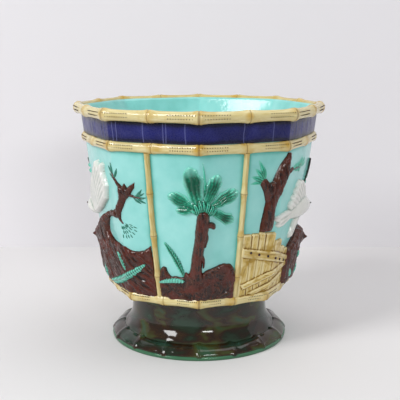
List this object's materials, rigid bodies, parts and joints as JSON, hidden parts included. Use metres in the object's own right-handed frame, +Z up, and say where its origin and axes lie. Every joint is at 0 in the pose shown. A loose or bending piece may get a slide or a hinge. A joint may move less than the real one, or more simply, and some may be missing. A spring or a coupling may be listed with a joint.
{
  "type": "jardiniere on stand",
  "caption": "Octagonal glazed jardiniere with bamboo cane borders and relief palms, birds and gates, lifting off a round flared stand.",
  "frame": {"origin": "on the floor, under the middle of the stand", "axes": "+Z up, -Y towards the front palm panel, +X towards the right side scene with its bird"},
  "size_m": [0.2904, 0.2904, 0.2748],
  "materials": {
    "turquoise_glaze": "glossy lead glaze, turquoise",
    "cane_glaze": "glossy lead glaze, cream washed with ochre",
    "cobalt_glaze": "glossy lead glaze, cobalt blue",
    "brown_glaze": "glossy lead glaze, manganese brown",
    "green_glaze": "glossy lead glaze, copper green",
    "ochre_glaze": "glossy lead glaze, ochre",
    "white_glaze": "glossy glaze, white",
    "mottled_glaze": "glossy lead glaze, green and brown mottled"
  },
  "bodies": {
    "stand": {"stand_foot": "mottled_glaze", "stand_cane": "mottled_glaze"},
    "bowl": {"bowl_shell": "turquoise_glaze", "rim_cane": "cane_glaze", "cobalt_frieze": "cobalt_glaze", "frieze_cane": "cane_glaze", "base_cane": "cane_glaze", "panel_cane_front_right": "cane_glaze", "panel_cane_front_left": "cane_glaze", "panel_cane_back_right": "cane_glaze", "panel_cane_back_left": "cane_glaze", "palm_trunk_front": "brown_glaze", "palm_trunk_back": "brown_glaze", "palm_fronds_front": "green_glaze", "palm_fronds_back": "green_glaze", "palm_mound_front": "brown_glaze", "palm_mound_back": "brown_glaze", "palm_leaves_front": "green_glaze", "palm_leaves_back": "green_glaze", "stump_right": "brown_glaze", "stump_left": "brown_glaze", "gate_right": "ochre_glaze", "gate_left": "ochre_glaze", "forked_trunk_right": "brown_glaze", "forked_trunk_left": "brown_glaze", "bird_right": "white_glaze", "bird_left": "white_glaze", "trunk_twigs_right": "green_glaze", "trunk_twigs_left": "green_glaze", "stump_branches_right": "brown_glaze", "stump_branches_left": "brown_glaze", "stump_ferns_right": "green_glaze", "stump_ferns_left": "green_glaze"}
  },
  "joints": [
    {"name": "bowl_lift", "type": "slide", "parent": "stand", "child": "bowl", "axis": [0, 0, 1], "range_m": [0, 0.15]}
  ]
}
